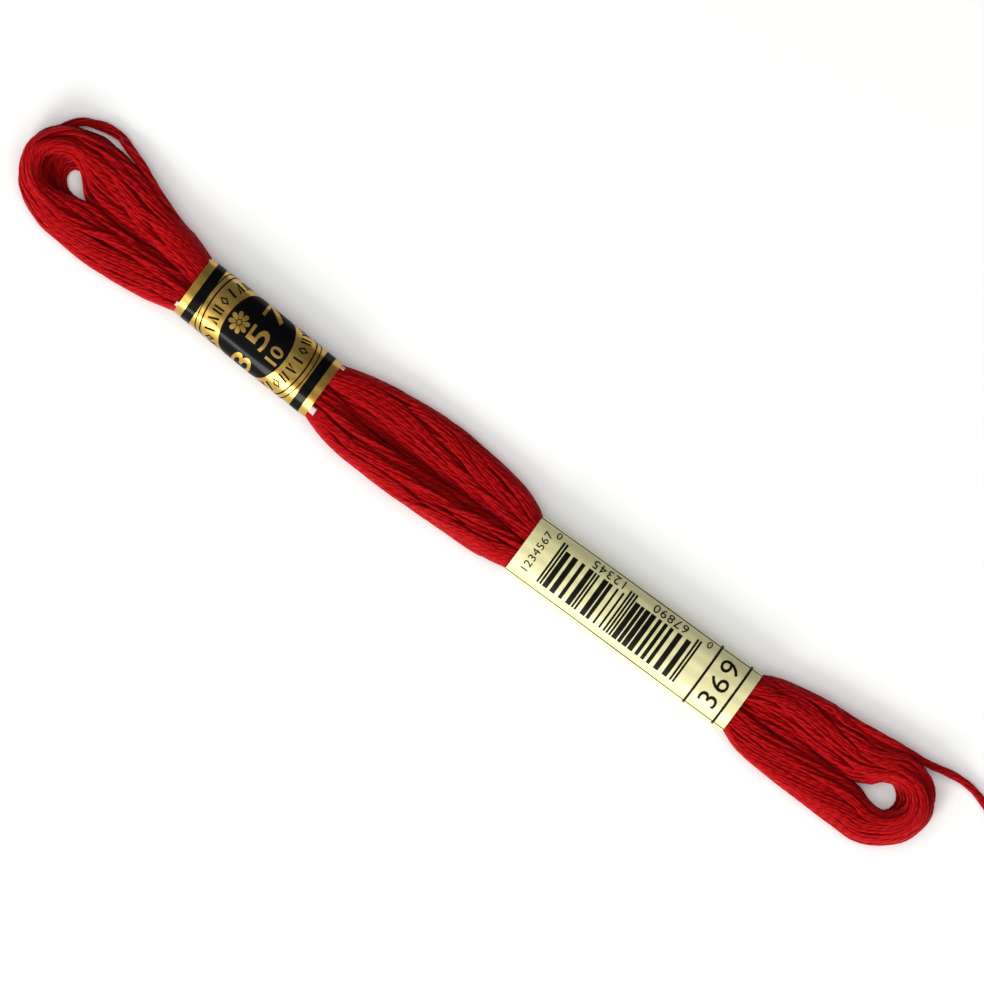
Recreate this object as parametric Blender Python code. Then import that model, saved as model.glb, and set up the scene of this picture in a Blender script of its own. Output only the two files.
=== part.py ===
"""A skein of six-strand embroidery floss: a flat hank of thread turns with an eye
at each end, two printed paper bands round it and one loose thread end.

Metres, +Z up. The skein lies on z = 0 with its length along X. The origin is on
the surface it lies on, at the middle of the skein and its bands.
"""

import math
from collections import namedtuple

import bmesh
import bpy

MM = 0.001

# ---- driving sizes, in millimetres ------------------------------------------
THREAD = 1.2  # diameter of the loose six-strand thread
BAND_WALL = 0.35  # wall of a paper band
BAND_GAP = 0.47  # clear space between a band and the thread inside it
BAND_HEIGHT = 6.6  # a band's height over the surface
GOLD_LENGTH = 24.7
CREAM_LENGTH = 39.9
BAND_POWER = 2.6  # superellipse power of a band's section
LEG_SIDES = 18  # points round one leg's section
BAND_SIDES = 44  # points round a band's section
UNDER = -0.55  # how far a leg's oval goes under the surface before it is cut flat
SHELF = BAND_WALL + BAND_GAP  # lowest thread inside a band
ROOF = BAND_HEIGHT - BAND_WALL - BAND_GAP  # highest thread inside a band
STEP = 2.7  # spacing of the sections along a leg
TURN = math.radians(14)  # most that one section turns from the last
SHIFT_X, SHIFT_Y = 0.38, -0.46  # moves the tables' zero to the middle of the box

# One row for each section of a leg: place of its middle, half its width, and
# its lowest and highest point. The legs overlap by about 1.8 mm where they lie
# side by side, which leaves the groove between them.
Leg = namedtuple("Leg", "x y half_width low high")

# The leg on the +Y side. It carries the turn at the left eye and at the right
# eye, and ends thinner, inside the other leg.
UPPER_LEG = [
    Leg(-79.3, -3.7, 1.35, UNDER, 4.0),
    Leg(-81.3, -2.0, 1.60, UNDER, 4.6),
    Leg(-82.2, 0.9, 1.80, UNDER, 5.0),
    Leg(-81.3, 4.2, 2.10, UNDER, 5.2),
    Leg(-78.3, 6.9, 3.10, UNDER, 5.2),
    Leg(-74.6, 6.9, 4.10, UNDER, 4.9),
    Leg(-70.6, 5.0, 5.20, UNDER, 4.5),
    Leg(-66.0, 3.8, 4.85, UNDER, 4.6),
    Leg(-61.0, 2.7, 3.95, UNDER, 5.0),
    Leg(-56.5, 2.0, 3.30, UNDER, 5.5),
    Leg(-54.4, 1.4, 2.95, 0.10, 5.8),
    Leg(-52.4, 0.40, 2.55, SHELF, ROOF),
    Leg(-50.4, 0.30, 2.55, SHELF, ROOF),
    Leg(-38.95, -0.25, 2.55, SHELF, ROOF),
    Leg(-27.5, -0.82, 2.55, SHELF, ROOF),
    Leg(-25.5, -0.87, 2.55, SHELF, ROOF),
    Leg(-23.4, -0.60, 3.20, 0.10, 5.8),
    Leg(-20.0, -0.05, 4.20, UNDER, 5.6),
    Leg(-14.0, 0.45, 4.75, UNDER, 5.2),
    Leg(-7.0, 0.65, 4.95, UNDER, 5.0),
    Leg(0.0, 0.50, 4.60, UNDER, 5.2),
    Leg(4.8, 0.0, 3.95, UNDER, 5.6),
    Leg(7.3, -0.50, 3.40, 0.10, 5.8),
    Leg(9.3, -1.23, 2.46, SHELF, ROOF),
    Leg(11.4, -1.23, 2.46, SHELF, ROOF),
    Leg(30.5, -1.20, 2.54, SHELF, ROOF),
    Leg(49.5, -1.02, 2.68, SHELF, ROOF),
    Leg(52.1, -1.02, 2.68, SHELF, ROOF),
    Leg(53.6, -0.50, 3.60, 0.10, 5.7),
    Leg(58.0, 0.20, 4.20, UNDER, 5.2),
    Leg(63.5, 0.45, 4.30, UNDER, 4.9),
    Leg(68.3, 0.80, 3.95, UNDER, 4.9),
    Leg(72.2, 1.75, 3.20, UNDER, 5.0),
    Leg(75.7, 2.70, 2.55, UNDER, 5.2),
    Leg(78.9, 2.20, 2.50, UNDER, 5.2),
    Leg(80.65, -0.20, 2.60, UNDER, 5.2),
    Leg(80.3, -3.0, 2.20, UNDER, 4.7),
    Leg(78.6, -5.2, 1.80, UNDER, 4.0),
]

# The leg on the -Y side. Its two ends are inside the turns of the other leg.
LOWER_LEG = [
    Leg(-81.8, 2.6, 1.25, UNDER, 3.8),
    Leg(-82.1, 0.0, 1.50, UNDER, 4.4),
    Leg(-80.9, -2.6, 1.95, UNDER, 5.0),
    Leg(-77.9, -4.2, 2.30, UNDER, 5.2),
    Leg(-74.5, -4.3, 2.95, UNDER, 5.0),
    Leg(-70.6, -3.85, 3.95, UNDER, 4.7),
    Leg(-66.0, -3.70, 4.40, UNDER, 4.7),
    Leg(-61.0, -3.50, 4.30, UNDER, 5.0),
    Leg(-56.5, -3.20, 3.80, UNDER, 5.4),
    Leg(-54.4, -3.10, 3.30, 0.10, 5.7),
    Leg(-52.4, -2.50, 2.55, SHELF, ROOF),
    Leg(-50.4, -2.60, 2.55, SHELF, ROOF),
    Leg(-38.95, -3.15, 2.55, SHELF, ROOF),
    Leg(-27.5, -3.72, 2.55, SHELF, ROOF),
    Leg(-25.5, -3.77, 2.55, SHELF, ROOF),
    Leg(-23.4, -4.50, 3.20, 0.10, 5.6),
    Leg(-20.0, -5.45, 3.25, UNDER, 5.3),
    Leg(-14.0, -5.80, 3.30, UNDER, 5.0),
    Leg(-7.0, -5.80, 3.30, UNDER, 4.9),
    Leg(0.0, -5.50, 3.40, UNDER, 5.1),
    Leg(4.8, -5.15, 3.25, UNDER, 5.4),
    Leg(7.3, -4.75, 3.05, 0.10, 5.7),
    Leg(9.3, -4.09, 2.46, SHELF, ROOF),
    Leg(11.4, -4.09, 2.46, SHELF, ROOF),
    Leg(30.5, -4.12, 2.54, SHELF, ROOF),
    Leg(49.5, -4.30, 2.68, SHELF, ROOF),
    Leg(52.1, -4.30, 2.68, SHELF, ROOF),
    Leg(53.6, -5.40, 3.50, 0.10, 5.6),
    Leg(58.0, -5.90, 3.80, UNDER, 5.1),
    Leg(64.0, -6.00, 3.85, UNDER, 4.9),
    Leg(69.0, -6.35, 3.60, UNDER, 4.9),
    Leg(72.8, -6.80, 3.10, UNDER, 5.0),
    Leg(76.2, -6.60, 2.75, UNDER, 5.2),
    Leg(79.0, -4.85, 2.50, UNDER, 5.1),
    Leg(80.5, -1.90, 2.10, UNDER, 4.5),
    Leg(80.2, 0.70, 1.75, UNDER, 3.9),
]

# A band's two ends: place of the middle of its section and half its width.
BandEnd = namedtuple("BandEnd", "x y half_width")
GOLD_BAND = [BandEnd(-51.3, -1.10, 4.75), BandEnd(-51.3 + GOLD_LENGTH, -2.32, 4.75)]
CREAM_BAND = [BandEnd(10.5, -2.66, 4.75), BandEnd(10.5 + CREAM_LENGTH, -2.66, 4.95)]

# The loose end lies on the surface: out from under the right loop, along its
# outer side, then away in one easy bend to a bare cut end.
Route = namedtuple("Route", "x y")
LOOSE_END = [
    Route(69.4, 5.35),
    Route(71.2, 5.70),
    Route(73.4, 6.05),
    Route(75.8, 6.30),
    Route(78.4, 6.55),
    Route(81.2, 6.85),
    Route(84.0, 6.80),
    Route(86.8, 6.40),
    Route(89.6, 5.70),
    Route(92.3, 4.60),
    Route(94.7, 3.10),
    Route(96.7, 1.20),
    Route(98.1, -1.10),
    Route(98.9, -3.70),
]


def clear_scene():
    for obj in list(bpy.data.objects):
        bpy.data.objects.remove(obj, do_unlink=True)


def material(name, colour, roughness, metallic=0.0):
    mat = bpy.data.materials.new(name)
    mat.use_nodes = True
    shader = mat.node_tree.nodes["Principled BSDF"]
    shader.inputs["Base Color"].default_value = (*colour, 1.0)
    shader.inputs["Roughness"].default_value = roughness
    shader.inputs["Metallic"].default_value = metallic
    return mat


def slopes(stations, values):
    """Slope at each station, from its two neighbours, kept from overshooting."""
    last = len(values) - 1
    out = []
    for i in range(last + 1):
        if i == 0 or i == last:
            a, b = (0, 1) if i == 0 else (last - 1, last)
            out.append((values[b] - values[a]) / (stations[b] - stations[a]))
            continue
        before = stations[i] - stations[i - 1]
        after = stations[i + 1] - stations[i]
        left = (values[i] - values[i - 1]) / before
        right = (values[i + 1] - values[i]) / after
        slope = (left * after + right * before) / (before + after)
        limit = 3.0 * min(abs(left), abs(right))
        out.append(max(-limit, min(limit, slope)) if left * right > 0 else 0.0)
    return out


def open_slopes(stations, values):
    """Slope at each station with no limit, for a path that turns back."""
    last = len(values) - 1
    out = []
    for i in range(last + 1):
        if i == 0 or i == last:
            a, b = (0, 1) if i == 0 else (last - 1, last)
            out.append((values[b] - values[a]) / (stations[b] - stations[a]))
            continue
        before = stations[i] - stations[i - 1]
        after = stations[i + 1] - stations[i]
        left = (values[i] - values[i - 1]) / before
        right = (values[i + 1] - values[i]) / after
        out.append((left * after + right * before) / (before + after))
    return out


def smooth_rows(rows, step, path_columns=2):
    """Rows read off a smooth curve through the table's rows, about a step apart."""
    stations = [0.0]
    for a, b in zip(rows, rows[1:]):
        stations.append(stations[-1] + math.hypot(b[0] - a[0], b[1] - a[1]))
    columns = list(zip(*rows))
    slope_of = [
        (open_slopes if index < path_columns else slopes)(stations, column)
        for index, column in enumerate(columns)
    ]
    out = []
    for i in range(len(rows) - 1):
        span = stations[i + 1] - stations[i]
        turn = math.atan2(slope_of[1][i + 1], slope_of[0][i + 1])
        turn -= math.atan2(slope_of[1][i], slope_of[0][i])
        turn = abs(math.remainder(turn, 2 * math.pi))
        parts = max(1, round(span / step), math.ceil(turn / TURN))
        for part in range(parts + (i == len(rows) - 2)):
            t = part / parts
            h00, h10 = 2 * t**3 - 3 * t**2 + 1, t**3 - 2 * t**2 + t
            h01, h11 = -2 * t**3 + 3 * t**2, t**3 - t**2
            out.append(
                [
                    h00 * column[i] + h10 * span * slope[i]
                    + h01 * column[i + 1] + h11 * span * slope[i + 1]
                    for column, slope in zip(columns, slope_of)
                ]
            )
    return out


def placed(x, y, z):
    return ((x + SHIFT_X) * MM, (y + SHIFT_Y) * MM, z * MM)


def mesh_object(name, bm, mat=None):
    bmesh.ops.recalc_face_normals(bm, faces=bm.faces)
    mesh = bpy.data.meshes.new(name)
    bm.to_mesh(mesh)
    bm.free()
    obj = bpy.data.objects.new(name, mesh)
    bpy.context.scene.collection.objects.link(obj)
    if mat:
        mesh.materials.append(mat)
    mesh.shade_smooth()
    mesh.set_sharp_from_angle(angle=math.radians(50))
    return obj


def leg(name, rows, mat=None):
    """One leg of the hank: an oval tube swept along its row of sections."""
    path = smooth_rows(rows, STEP)
    bm = bmesh.new()
    rings = []
    for i, (x, y, half_width, low, high) in enumerate(path):
        before, after = path[max(i - 1, 0)], path[min(i + 1, len(path) - 1)]
        along = math.hypot(after[0] - before[0], after[1] - before[1])
        side_x = -(after[1] - before[1]) / along
        side_y = (after[0] - before[0]) / along
        ring = []
        for k in range(LEG_SIDES):
            angle = 2 * math.pi * (k + 0.5) / LEG_SIDES
            across = half_width * math.cos(angle)
            height = (low + high) / 2 + (high - low) / 2 * math.sin(angle)
            ring.append(
                bm.verts.new(placed(x + across * side_x, y + across * side_y, height))
            )
        rings.append(ring)
    for a, b in zip(rings, rings[1:]):
        for k in range(LEG_SIDES):
            j = (k + 1) % LEG_SIDES
            bm.faces.new((a[k], a[j], b[j], b[k]))
    bm.faces.new(rings[0])
    bm.faces.new(rings[-1])
    return mesh_object(name, bm, mat)


def band_ring(bm, end, inset):
    """Points of a band's section: a flattened oval, flat where it lies."""
    floor = inset
    top = BAND_HEIGHT - inset
    middle = BAND_HEIGHT / 2 - 0.1
    ring = []
    for k in range(BAND_SIDES):
        angle = 2 * math.pi * (k + 0.5) / BAND_SIDES
        c, s = math.cos(angle), math.sin(angle)
        across = math.copysign(abs(c) ** (2 / BAND_POWER), c) * (end.half_width - inset)
        up = math.copysign(abs(s) ** (2 / BAND_POWER), s) * (top - middle)
        ring.append(
            bm.verts.new(placed(end.x, end.y + across, max(floor, middle + up)))
        )
    return ring


def band(name, ends, mat):
    """A paper band: one closed sleeve, straight from end to end."""
    bm = bmesh.new()
    outer = [band_ring(bm, end, 0.0) for end in ends]
    inner = [band_ring(bm, end, BAND_WALL) for end in ends]
    loops = [outer[0], outer[1], inner[1], inner[0], outer[0]]
    for a, b in zip(loops, loops[1:]):
        for k in range(BAND_SIDES):
            j = (k + 1) % BAND_SIDES
            bm.faces.new((a[k], a[j], b[j], b[k]))
    return mesh_object(name, bm, mat)


def union(obj, other, operation):
    cut = obj.modifiers.new(other.name, "BOOLEAN")
    cut.operation = operation
    cut.solver = "EXACT"
    cut.object = other
    other.hide_render = True
    other.display_type = "WIRE"


def surface_block():
    """A helper: all that is under the surface, cut off the skein's underside."""
    bm = bmesh.new()
    bmesh.ops.create_cube(bm, size=1.0)
    for vert in bm.verts:
        vert.co.x *= 220 * MM
        vert.co.y *= 60 * MM
        vert.co.z = 0.0 if vert.co.z > 0 else -5 * MM
    return mesh_object("under_surface_helper", bm)


def loose_end(mat):
    """The thread's loose end: a round cord on a smooth route, lying flat."""
    points = smooth_rows(LOOSE_END, 2.6)
    data = bpy.data.curves.new("loose_end", "CURVE")
    data.dimensions = "3D"
    data.bevel_depth = THREAD / 2 * MM
    data.bevel_resolution = 2
    data.use_fill_caps = True
    spline = data.splines.new("POLY")
    spline.points.add(len(points) - 1)
    for point, (x, y) in zip(spline.points, points):
        point.co = (*placed(x, y, THREAD / 2 + 0.02), 1.0)
        point.radius = 1.0
    obj = bpy.data.objects.new("loose_end", data)
    data.materials.append(mat)
    bpy.context.scene.collection.objects.link(obj)
    return obj


def main():
    clear_scene()
    red = material("floss_red", (0.50, 0.012, 0.022), 0.55)
    red_end = material("floss_red_loose_end", (0.50, 0.012, 0.022), 0.55)
    gold = material("gold_paper", (0.62, 0.46, 0.16), 0.32, 0.85)
    cream = material("cream_paper", (0.83, 0.80, 0.50), 0.38)

    skein = leg("skein", UPPER_LEG, red)
    lower = leg("lower_leg_helper", LOWER_LEG)
    union(skein, lower, "UNION")
    union(skein, surface_block(), "DIFFERENCE")

    band("band_gold", GOLD_BAND, gold)
    band("band_cream", CREAM_BAND, cream)
    loose_end(red_end)


main()
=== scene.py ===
"""The look of a skein of six-strand embroidery floss with two paper bands."""

import math

import bmesh
import bpy
import numpy as np
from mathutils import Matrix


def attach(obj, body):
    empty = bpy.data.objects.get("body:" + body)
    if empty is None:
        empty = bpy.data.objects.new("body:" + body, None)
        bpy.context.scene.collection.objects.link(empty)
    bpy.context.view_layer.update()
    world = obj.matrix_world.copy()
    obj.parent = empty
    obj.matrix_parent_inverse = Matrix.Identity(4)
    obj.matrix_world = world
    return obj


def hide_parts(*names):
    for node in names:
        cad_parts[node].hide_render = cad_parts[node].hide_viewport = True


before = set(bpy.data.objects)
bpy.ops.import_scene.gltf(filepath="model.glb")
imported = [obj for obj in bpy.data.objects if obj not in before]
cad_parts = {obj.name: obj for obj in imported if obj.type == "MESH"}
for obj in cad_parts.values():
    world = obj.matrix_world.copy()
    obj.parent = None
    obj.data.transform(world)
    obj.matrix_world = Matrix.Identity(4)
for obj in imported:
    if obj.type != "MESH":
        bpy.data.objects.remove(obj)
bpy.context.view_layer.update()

MM = 0.001
SHIFT_X, SHIFT_Y = 0.38, -0.46  # the tables' zero, in the row frame, as in part.py
rng = np.random.default_rng(2511)
scene = bpy.context.scene

# ---- camera ------------------------------------------------------------------
# Straight down on a skein that lies turned by 36.2 degrees in the picture.
TURN = 36.2
SPAN = 145.13  # millimetres of the table across the picture
FAR = 1200.0


def place(u, v, z=0.0):
    return ((u + SHIFT_X) * MM, (v + SHIFT_Y) * MM, z * MM)


cam_data = bpy.data.cameras.new("camera")
cam_data.sensor_width = 36.0
cam_data.lens = 36.0 * FAR / SPAN
cam_data.clip_start, cam_data.clip_end = 0.05, 20.0
cam = bpy.data.objects.new("camera", cam_data)
scene.collection.objects.link(cam)
cam.location = place(2.28, 0.39, FAR + 3.0)
cam.rotation_euler = (0.0, 0.0, math.radians(TURN))
scene.camera = cam
scene.view_settings.view_transform = "Standard"
scene.view_settings.look = "None"


# ---- small helpers -------------------------------------------------------------
def new_mesh(name, points, faces, material, smooth=True):
    """A mesh object from arrays, in metres."""
    mesh = bpy.data.meshes.new(name)
    points = np.asarray(points, np.float32)
    mesh.vertices.add(len(points))
    mesh.vertices.foreach_set("co", points.ravel())
    sizes = np.array([len(f) for f in faces] if isinstance(faces, list) else [faces.shape[1]] * len(faces), np.int32)
    flat = np.concatenate([np.asarray(f, np.int32) for f in faces]) if isinstance(faces, list) else faces.astype(np.int32).ravel()
    starts = np.concatenate([[0], np.cumsum(sizes)[:-1]]).astype(np.int32)
    mesh.loops.add(len(flat))
    mesh.loops.foreach_set("vertex_index", flat)
    mesh.polygons.add(len(sizes))
    mesh.polygons.foreach_set("loop_start", starts)
    mesh.polygons.foreach_set("loop_total", sizes)
    mesh.update(calc_edges=True)
    mesh.validate()
    if smooth:
        mesh.shade_smooth()
    if material is not None:
        mesh.materials.append(material)
    obj = bpy.data.objects.new(name, mesh)
    scene.collection.objects.link(obj)
    return obj


def smooth_noise(count, width, seed):
    """Soft random values along a line, about -2..2, that change over width samples."""
    r = np.random.default_rng(seed)
    n = r.normal(size=count + 8 * int(width) + 8)
    half = int(3 * width) + 1
    k = np.exp(-0.5 * (np.arange(-half, half + 1) / width) ** 2)
    k /= np.sqrt((k**2).sum())
    return np.convolve(n, k, "same")[half:half + count]


def blur(values, width):
    half = int(3 * width) + 1
    k = np.exp(-0.5 * (np.arange(-half, half + 1) / width) ** 2)
    k /= k.sum()
    padded = np.pad(values, half, mode="edge")
    return np.convolve(padded, k, "valid")


def through(points, step):
    """Points every step along a smooth curve through the given rows (any columns; the first two are the plan)."""
    p = np.asarray(points, float)
    seg = np.hypot(*(p[1:, :2] - p[:-1, :2]).T)
    t = np.concatenate([[0], np.cumsum(seg)])
    m = np.empty_like(p)
    m[0] = (p[1] - p[0]) / seg[0]
    m[-1] = (p[-1] - p[-2]) / seg[-1]
    left = (p[1:-1] - p[:-2]) / seg[:-1, None]
    right = (p[2:] - p[1:-1]) / seg[1:, None]
    m[1:-1] = (left * seg[1:, None] + right * seg[:-1, None]) / (seg[1:] + seg[:-1])[:, None]
    at = np.linspace(0, t[-1], max(2, int(round(t[-1] / step)) + 1))
    i = np.clip(np.searchsorted(t, at, "right") - 1, 0, len(seg) - 1)
    h = ((at - t[i]) / seg[i])[:, None]
    s = seg[i][:, None]
    return ((2 * h**3 - 3 * h**2 + 1) * p[i] + (h**3 - 2 * h**2 + h) * s * m[i]
            + (-2 * h**3 + 3 * h**2) * p[i + 1] + (h**3 - h**2) * s * m[i + 1])


# ---- the winding's sections ----------------------------------------------------
# Straight legs. Columns: u along the hank, v across it, half width, stray (how
# far out the stray turn stands), millimetres.
LOWER = np.array([
    (-72.6, -4.18, 3.38), (-70.0, -4.25, 3.70), (-66.0, -4.30, 3.85), (-60.0, -4.00, 3.65),
    (-56.0, -3.75, 3.30), (-53.6, -3.60, 3.05), (-51.2, -3.38, 2.35), (-39.0, -3.98, 2.30),
    (-26.8, -4.50, 2.35), (-24.4, -5.02, 2.70), (-20.0, -5.78, 2.70), (-14.0, -6.00, 2.70),
    (-7.0, -5.98, 2.74), (0.0, -5.64, 2.90), (5.0, -5.46, 2.92), (8.3, -5.32, 2.83),
    (10.8, -4.96, 2.30), (30.0, -4.98, 2.30), (50.0, -5.05, 2.38), (52.2, -5.75, 3.10),
    (56.0, -5.90, 3.50), (62.0, -6.15, 3.60), (66.0, -6.30, 3.62), (70.0, -6.25, 3.75),
    (71.6, -6.20, 3.76), (73.2, -6.55, 3.27),
])
UPPER = np.array([
    (-72.6, 4.60, 4.70, 1.60), (-70.5, 4.16, 4.72, 1.45), (-68.0, 3.90, 4.46, 0.95), (-65.5, 3.70, 4.15, 0.45),
    (-63.0, 3.35, 3.75, 0.12), (-60.0, 2.95, 3.35, 0.0), (-57.0, 2.55, 2.94, 0.0), (-54.0, 2.05, 2.66, 0.0),
    (-51.2, 1.18, 2.35, 0.0), (-39.0, 0.60, 2.30, 0.0), (-26.8, -0.04, 2.35, 0.0), (-24.4, 0.15, 3.00, 0.0),
    (-20.0, 0.50, 3.80, 0.0), (-14.0, 0.98, 4.30, 0.0), (-7.0, 1.20, 4.40, 0.0), (0.0, 1.00, 4.05, 0.0),
    (5.0, 0.60, 3.55, 0.0), (8.3, 0.15, 3.10, 0.0), (10.8, -0.36, 2.30, 0.0), (30.0, -0.35, 2.30, 0.0),
    (50.0, -0.25, 2.40, 0.0), (52.2, 0.25, 2.95, 0.0), (56.0, 0.85, 3.25, 0.0), (62.0, 1.30, 3.85, 0.0),
    (66.0, 1.35, 3.95, 0.0), (70.0, 1.20, 3.83, 0.0), (71.6, 1.55, 3.60, 0.0), (73.2, 2.40, 2.90, 0.0),
])
# The eyes, as seen from a middle. Columns: angle, distance of the outline, distance
# of the upper turns' inner side, lean (how much further in the lowest turns
# reach), stray.
RIGHT_MIDDLE, LEFT_MIDDLE = (73.2, -2.4), (-72.6, 0.2)
RIGHT = [
    (-90, 7.42, 0.88, 0.0, 0), (-68, 7.65, 1.40, 0.1, 0), (-45, 8.00, 2.20, 0.3, 0), (-34, 8.35, 2.80, 0.3, 0),
    (-18, 9.05, 3.90, 0.4, 0), (3, 9.50, 5.50, 0.4, 0), (11, 9.70, 5.95, 0.9, 0), (21, 9.70, 6.05, 1.0, 0),
    (34, 9.55, 5.75, 1.0, 0), (46, 9.35, 4.95, 0.75, 0), (58, 8.90, 3.65, 0.5, 0), (76, 8.05, 2.65, 0.2, 0),
    (90, 7.70, 1.90, 0.0, 0),
]
LEFT = [
    (90, 9.10, -0.30, 0.0, 1.60), (107, 9.45, 0.15, 0.0, 2.00), (116.5, 9.65, 1.00, 0.0, 1.95), (125.6, 9.85, 2.70, 0.0, 1.42),
    (132, 10.08, 4.05, 0.1, 0.50), (138.9, 10.28, 5.20, 0.3, 0.05), (145, 10.42, 6.00, 0.9, 0.0), (152.7, 10.55, 6.90, 2.4, 0.0), (160, 10.65, 7.45, 3.8, 0.0),
    (167.7, 10.70, 7.95, 4.8, 0.0), (175, 10.45, 7.85, 5.1, 0.0), (184, 10.10, 7.45, 5.0, 0.0), (195.2, 9.53, 6.20, 3.9, 0.0),
    (202.2, 9.40, 5.30, 3.0, 0.0), (214.3, 9.00, 3.30, 1.2, 0.0), (227.4, 8.40, 1.95, 0.4, 0.0), (247.2, 7.80, 1.20, 0.1, 0.0),
    (270, 7.55 + 0.2, 1.00, 0.0, 0.0),
]
GAP_U = 1.1  # spacing of the sections
TURNS = 24
STRANDS = 6
U_LEFT, U_RIGHT, U_START = LEFT_MIDDLE[0], RIGHT_MIDDLE[0], 30.0

body_u = np.linspace(U_LEFT, U_RIGHT, int(round((U_RIGHT - U_LEFT) / GAP_U)) + 1)
n_body = len(body_u)
start_at = int(np.argmin(abs(body_u - U_START)))


def leg_rows(table, sign):
    """Sections of one straight leg: plan of the middle, outward direction, half width, lean, stray."""
    out = np.zeros((n_body, 7))
    out[:, 0] = body_u
    out[:, 3] = sign
    for column in range(1, table.shape[1]):
        out[:, {1: 1, 2: 4, 3: 6}[column]] = blur(np.interp(body_u, table[:, 0], table[:, column]), 1.0)
    return out


def eye_rows(middle, table):
    """Sections round an eye, fanned about its middle."""
    t = np.array(table, float)
    fine = np.linspace(t[0, 0], t[-1, 0], 901)
    far, near, lean, stray = (blur(np.interp(fine, t[:, 0], t[:, c]), 14) for c in (1, 2, 3, 4))
    angle = np.radians(fine)
    mid = (far + near) / 2
    arc = np.concatenate([[0], np.cumsum((mid[1:] + mid[:-1]) / 2 * np.diff(angle))])
    at = np.linspace(0, arc[-1], int(round(arc[-1] / GAP_U)) + 1)[1:-1]
    angle, mid, half = np.interp(at, arc, angle), np.interp(at, arc, mid), np.interp(at, arc, (far - near) / 2)
    n = np.stack([np.cos(angle), np.sin(angle)], 1)
    return np.column_stack([np.array(middle) + mid[:, None] * n, n, half,
                            np.interp(at, arc, lean), np.interp(at, arc, stray)])


lower, upper = leg_rows(LOWER, -1.0), leg_rows(UPPER, 1.0)
right, left = eye_rows(RIGHT_MIDDLE, RIGHT), eye_rows(LEFT_MIDDLE, LEFT)
SECTIONS = np.concatenate([lower[start_at:], right, upper[::-1], left, lower[:start_at]])
J = len(SECTIONS)
# where each leg's body sections are in SECTIONS, in order of u
at_lower = (np.arange(n_body) - start_at) % J
at_upper = (n_body - start_at) + len(right) + (n_body - 1 - np.arange(n_body))
plan, out_dir = SECTIONS[:, :2], SECTIONS[:, 2:4]
half_w, lean, stray = SECTIONS[:, 4], SECTIONS[:, 5], SECTIONS[:, 6]
u_of = plan[:, 0]
first_station = int(at_upper[np.argmin(abs(body_u - 66.0))])  # the first turn starts here


def near_band(u):
    """1 inside a band, 0 well outside it."""
    inside = np.zeros_like(u)
    for a, b in ((-51.3, -26.6), (10.5, 50.4)):
        inside = np.maximum(inside, 1 - np.clip(np.maximum(a - u, u - b) / 5.0, 0, 1))
    return inside


def ring_blur(values, width):
    return blur(np.concatenate([values[-30:], values, values[:30]]), width)[30:-30]


def level(z):
    """1 at the table, 0 from 1.8 mm up: where the lowest turns reach further in."""
    return np.clip((1.8 - z) / 0.5, 0, 1)


in_band = near_band(u_of) > 0.93
# the room one thread takes: full in the loose parts, pressed at the eyes and bands
spread = 1.09 - 0.09 * near_band(u_of)
spread -= 0.09 * np.clip((-73.0 - u_of) / 4.0, 0, 1)
spread -= 0.05 * np.clip((u_of - 74.0) / 3.0, 0, 1)
height = (TURNS * 0.89 * spread**2 - 1.45 * lean) / (2 * half_w * 0.86)
height = ring_blur(np.clip(height, 3.5, 5.9), 2.0)
height = np.where(near_band(u_of) > 0.99, 6.1, height)
height = ring_blur(height, 1.2)
BAND_POWER = 2.4
band_mid = np.interp(u_of, [-51.3, -26.6, 10.5, 50.4], [-1.00, -2.20, -2.86, -2.86])
band_half = np.interp(u_of, [-51.3, -26.6, 10.5, 50.4], [4.68, 4.68, 4.68, 4.90])


def keep_in_band(a, z, r):
    """Inside the paper, in the band's sections. a and z are (things, J)."""
    side = out_dir[:, 1]
    v = plan[:, 1] + a * side - band_mid
    zc, zr = 3.3, 3.14
    size = (abs(v) / (band_half - r)) ** BAND_POWER + (abs(z - zc) / (zr - r)) ** BAND_POWER
    shrink = np.where(in_band & (size > 1), np.maximum(size, 1e-9) ** (-1 / BAND_POWER), 1.0)
    a = np.where(in_band, (v * shrink + band_mid - plan[:, 1]) * side, a)
    return a, np.where(in_band, zc + (z - zc) * shrink, z)


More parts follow.
